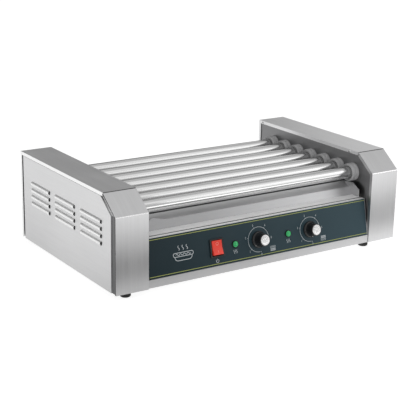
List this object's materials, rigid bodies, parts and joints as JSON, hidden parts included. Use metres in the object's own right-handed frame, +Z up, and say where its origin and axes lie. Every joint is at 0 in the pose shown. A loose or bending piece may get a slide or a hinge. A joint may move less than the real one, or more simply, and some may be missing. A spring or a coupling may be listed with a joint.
{
  "type": "hot dog roller grill",
  "caption": "Countertop roller grill: a row of heated steel tubes between two end housings, over a slide-out drip tray, with a sloping control panel.",
  "frame": {"origin": "on the floor under the middle of the overall bounding box", "axes": "+Z up, +X along the rollers to the right as seen from the controls, -Y towards the user and the control panel"},
  "size_m": [0.5902, 0.3718, 0.1704],
  "materials": {
    "brushed_steel": "brushed along the sheet",
    "dark_plate": "brushed, seen in shade",
    "polished_steel": "polished, seamless tube",
    "zinc": "zinc plated sheet",
    "fascia_film": "printed film, satin",
    "bushing_grey": "moulded, matt",
    "heater_sheath": "heat-tinted sheath",
    "chain_steel": "oiled steel",
    "black_plastic": "satin moulding",
    "terminal_ceramic": "unglazed ceramic",
    "rocker_red": "gloss",
    "lamp_green": "translucent lens, gloss",
    "black_rubber": "matt"
  },
  "bodies": {
    "body": {"left_top_cover": "brushed_steel", "right_top_cover": "brushed_steel", "left_front_cover": "brushed_steel", "right_front_cover": "brushed_steel", "left_side_panel": "brushed_steel", "right_side_panel": "brushed_steel", "base_pan": "brushed_steel", "front_panel": "brushed_steel", "back_panel": "brushed_steel", "left_bearing_plate": "dark_plate", "right_bearing_plate": "dark_plate", "tray_deck": "zinc", "heater_bracket": "zinc", "front_thermostat": "zinc", "rear_thermostat": "zinc", "control_fascia": "fascia_film", "left_bushing_1": "bushing_grey", "left_bushing_2": "bushing_grey", "left_bushing_3": "bushing_grey", "left_bushing_4": "bushing_grey", "left_bushing_5": "bushing_grey", "left_bushing_6": "bushing_grey", "left_bushing_7": "bushing_grey", "right_bushing_1": "bushing_grey", "right_bushing_2": "bushing_grey", "right_bushing_3": "bushing_grey", "right_bushing_4": "bushing_grey", "right_bushing_5": "bushing_grey", "right_bushing_6": "bushing_grey", "right_bushing_7": "bushing_grey", "heater_1": "heater_sheath", "heater_2": "heater_sheath", "heater_3": "heater_sheath", "heater_4": "heater_sheath", "heater_5": "heater_sheath", "heater_6": "heater_sheath", "heater_7": "heater_sheath", "drive_chain": "chain_steel", "gear_motor": "black_plastic", "switch_housing": "black_plastic", "cable_gland": "black_plastic", "terminal_block": "terminal_ceramic", "front_lamp": "lamp_green", "rear_lamp": "lamp_green", "front_left_foot": "black_rubber", "front_right_foot": "black_rubber", "back_left_foot": "black_rubber", "back_right_foot": "black_rubber"},
    "roller_1": {"roller_1": "polished_steel"},
    "roller_2": {"roller_2": "polished_steel"},
    "roller_3": {"roller_3": "polished_steel"},
    "roller_4": {"roller_4": "polished_steel"},
    "roller_5": {"roller_5": "polished_steel"},
    "roller_6": {"roller_6": "polished_steel"},
    "roller_7": {"roller_7": "polished_steel"},
    "motor_sprocket": {"motor_sprocket": "zinc"},
    "drip_tray": {"drip_tray": "brushed_steel"},
    "front_knob": {"front_knob": "black_plastic"},
    "rear_knob": {"rear_knob": "black_plastic"},
    "switch_rocker": {"switch_rocker": "rocker_red"}
  },
  "joints": [
    {"name": "roller_1_spin", "type": "hinge", "parent": "body", "child": "roller_1", "pos_m": [0, -0.11864, 0.13151], "axis": [1, 0, 0], "continuous": true},
    {"name": "roller_2_spin", "type": "hinge", "parent": "body", "child": "roller_2", "pos_m": [0, -0.07844, 0.13151], "axis": [1, 0, 0], "continuous": true},
    {"name": "roller_3_spin", "type": "hinge", "parent": "body", "child": "roller_3", "pos_m": [0, -0.03824, 0.13151], "axis": [1, 0, 0], "continuous": true},
    {"name": "roller_4_spin", "type": "hinge", "parent": "body", "child": "roller_4", "pos_m": [0, 0.00196, 0.13151], "axis": [1, 0, 0], "continuous": true},
    {"name": "roller_5_spin", "type": "hinge", "parent": "body", "child": "roller_5", "pos_m": [0, 0.04216, 0.13151], "axis": [1, 0, 0], "continuous": true},
    {"name": "roller_6_spin", "type": "hinge", "parent": "body", "child": "roller_6", "pos_m": [0, 0.08236, 0.13151], "axis": [1, 0, 0], "continuous": true},
    {"name": "roller_7_spin", "type": "hinge", "parent": "body", "child": "roller_7", "pos_m": [0, 0.12256, 0.13151], "axis": [1, 0, 0], "continuous": true},
    {"name": "motor_sprocket_spin", "type": "hinge", "parent": "body", "child": "motor_sprocket", "pos_m": [-0.2494, 0.00086, 0.0554], "axis": [1, 0, 0], "continuous": true},
    {"name": "drip_tray_slide", "type": "slide", "parent": "body", "child": "drip_tray", "axis": [0, -1, 0], "range_m": [0, 0.25]},
    {"name": "front_knob_turn", "type": "hinge", "parent": "body", "child": "front_knob", "pos_m": [-0.0105, -0.16424, 0.05502], "axis": [0, 0.9774, -0.2113], "range_deg": [-56, 224]},
    {"name": "rear_knob_turn", "type": "hinge", "parent": "body", "child": "rear_knob", "pos_m": [0.1005, -0.16424, 0.05502], "axis": [0, 0.9774, -0.2113], "range_deg": [0, 280]},
    {"name": "switch_rock", "type": "hinge", "parent": "body", "child": "switch_rocker", "pos_m": [-0.097, -0.16326, 0.0548], "axis": [1, 0, 0], "range_deg": [0, 16]}
  ],
  "couplings": [
    {"joint": "roller_2_spin", "follows": "roller_1_spin", "ratio": 1},
    {"joint": "roller_3_spin", "follows": "roller_1_spin", "ratio": 1},
    {"joint": "roller_4_spin", "follows": "roller_1_spin", "ratio": 1},
    {"joint": "roller_5_spin", "follows": "roller_1_spin", "ratio": 1},
    {"joint": "roller_6_spin", "follows": "roller_1_spin", "ratio": 1},
    {"joint": "roller_7_spin", "follows": "roller_1_spin", "ratio": 1},
    {"joint": "motor_sprocket_spin", "follows": "roller_1_spin", "ratio": 1}
  ]
}
